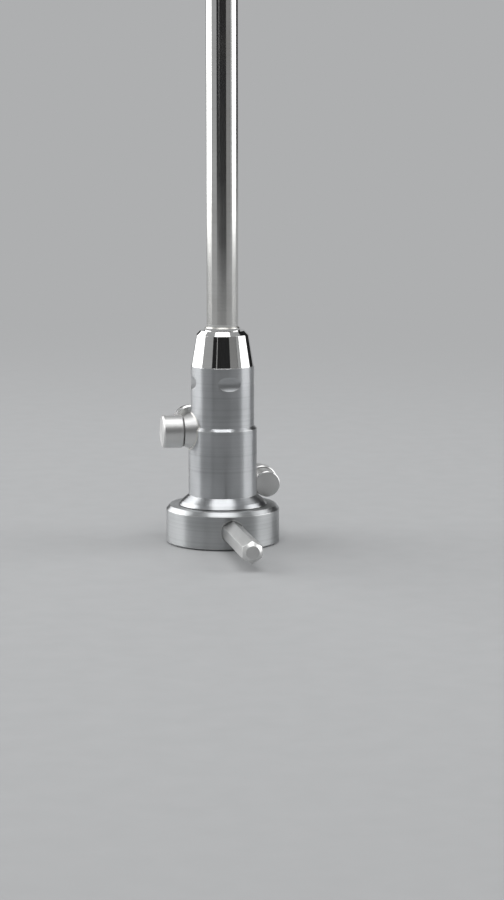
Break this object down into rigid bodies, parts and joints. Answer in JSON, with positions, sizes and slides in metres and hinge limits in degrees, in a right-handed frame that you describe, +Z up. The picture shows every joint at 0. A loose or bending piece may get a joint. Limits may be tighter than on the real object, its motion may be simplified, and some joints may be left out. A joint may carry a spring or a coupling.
{
  "type": "cystoscope sheath",
  "caption": "Straight steel cystoscope sheath standing on its locking ring, with a hub, two valves and a lever pin.",
  "frame": {"origin": "centre of the locking ring's resting face, on the sheath's axis", "axes": "+Z up the sheath's axis to the beak, -Y along the lever pin, -X along the inflow knob's axis"},
  "size_m": [0.0279, 0.0539, 0.262],
  "materials": {
    "polished_steel": "mirror polished",
    "satin_steel": "satin",
    "spring_steel": "plain",
    "seal_rubber": "matt"
  },
  "bodies": {
    "hub": {"hub_body": "satin_steel", "shaft_tube": "polished_steel", "beak_tip": "polished_steel", "nose_cone": "polished_steel", "outer_sleeve": "satin_steel", "flange_collar": "satin_steel", "seat_bush": "satin_steel", "mouth_seal": "seal_rubber", "retaining_ring": "satin_steel", "wave_washer": "spring_steel", "stop_pin": "satin_steel", "fixing_screws": "satin_steel", "inflow_housing": "polished_steel", "inflow_luer": "polished_steel", "drain_housing": "polished_steel"},
    "ring": {"locking_ring": "satin_steel", "lever_pin": "polished_steel", "cam_plate": "satin_steel", "cam_screws": "satin_steel"},
    "inflow_valve": {"inflow_key": "satin_steel", "inflow_knob": "polished_steel", "inflow_spring": "spring_steel", "inflow_knob_pin": "satin_steel"},
    "drain_valve": {"drain_key": "satin_steel", "drain_cap": "polished_steel", "drain_knob": "polished_steel", "drain_knob_pin": "satin_steel", "drain_luer": "polished_steel"}
  },
  "joints": [
    {"name": "ring_turn", "type": "hinge", "parent": "hub", "child": "ring", "pos_m": [0, 0, 0.0042], "axis": [0, 0, 1], "range_deg": [0, 40]},
    {"name": "inflow_turn", "type": "hinge", "parent": "hub", "child": "inflow_valve", "pos_m": [-0.009, 0, 0.0249], "axis": [-1, 0, 0], "range_deg": [0, 90]},
    {"name": "drain_turn", "type": "hinge", "parent": "hub", "child": "drain_valve", "pos_m": [0.0108, 0.0068, 0.0119], "axis": [0, 1, 0], "range_deg": [0, 90]}
  ]
}
